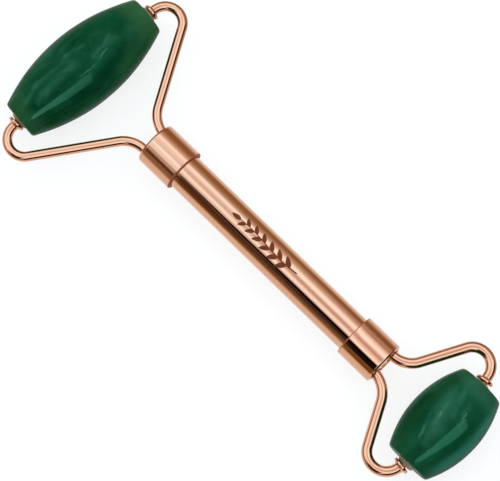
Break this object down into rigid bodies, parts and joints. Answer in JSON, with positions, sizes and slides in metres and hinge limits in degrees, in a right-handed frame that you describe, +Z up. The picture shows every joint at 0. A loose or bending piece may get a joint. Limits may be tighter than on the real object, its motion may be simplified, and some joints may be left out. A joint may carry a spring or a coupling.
{
  "type": "facial roller",
  "caption": "Double-ended facial massage roller: slim metal handle with a wire yoke at each end, holding a large and a small barrel-shaped stone that turn on pins.",
  "frame": {"origin": "on the handle's axis, at the middle of the overall length", "axes": "+X along the handle towards the large stone, +Z up, square to the plane of the wire yokes, +Y across the handle"},
  "size_m": [0.151, 0.0592, 0.02],
  "materials": {
    "handle_plating": "mirror-polished rose-gold plating",
    "plug_plating": "rose-gold plating, satin turned face",
    "wire_plating": "mirror-polished rose-gold plating on bent wire",
    "green_stone": "polished deep green stone with cloudy veins",
    "bush_plastic": "cream moulded plastic"
  },
  "bodies": {
    "handle": {"handle_tube": "handle_plating", "ferrule_large": "handle_plating", "ferrule_small": "handle_plating", "end_plug_large": "plug_plating", "end_plug_small": "plug_plating", "large_arm_left": "wire_plating", "large_arm_right": "wire_plating", "small_arm_left": "wire_plating", "small_arm_right": "wire_plating", "large_collar_left": "wire_plating", "large_collar_right": "wire_plating", "small_collar_left": "wire_plating", "small_collar_right": "wire_plating"},
    "large_roller": {"large_stone": "green_stone", "large_bush_left": "bush_plastic", "large_bush_right": "bush_plastic"},
    "small_roller": {"small_stone": "green_stone", "small_bush_left": "bush_plastic", "small_bush_right": "bush_plastic"}
  },
  "joints": [
    {"name": "large_roller_spin", "type": "hinge", "parent": "handle", "child": "large_roller", "pos_m": [0.06538, -0.00113, 0], "axis": [0.0952, 0.9955, 0], "continuous": true},
    {"name": "small_roller_spin", "type": "hinge", "parent": "handle", "child": "small_roller", "pos_m": [-0.06563, 0.00026, 0], "axis": [-0.0016, 1, 0], "continuous": true}
  ]
}
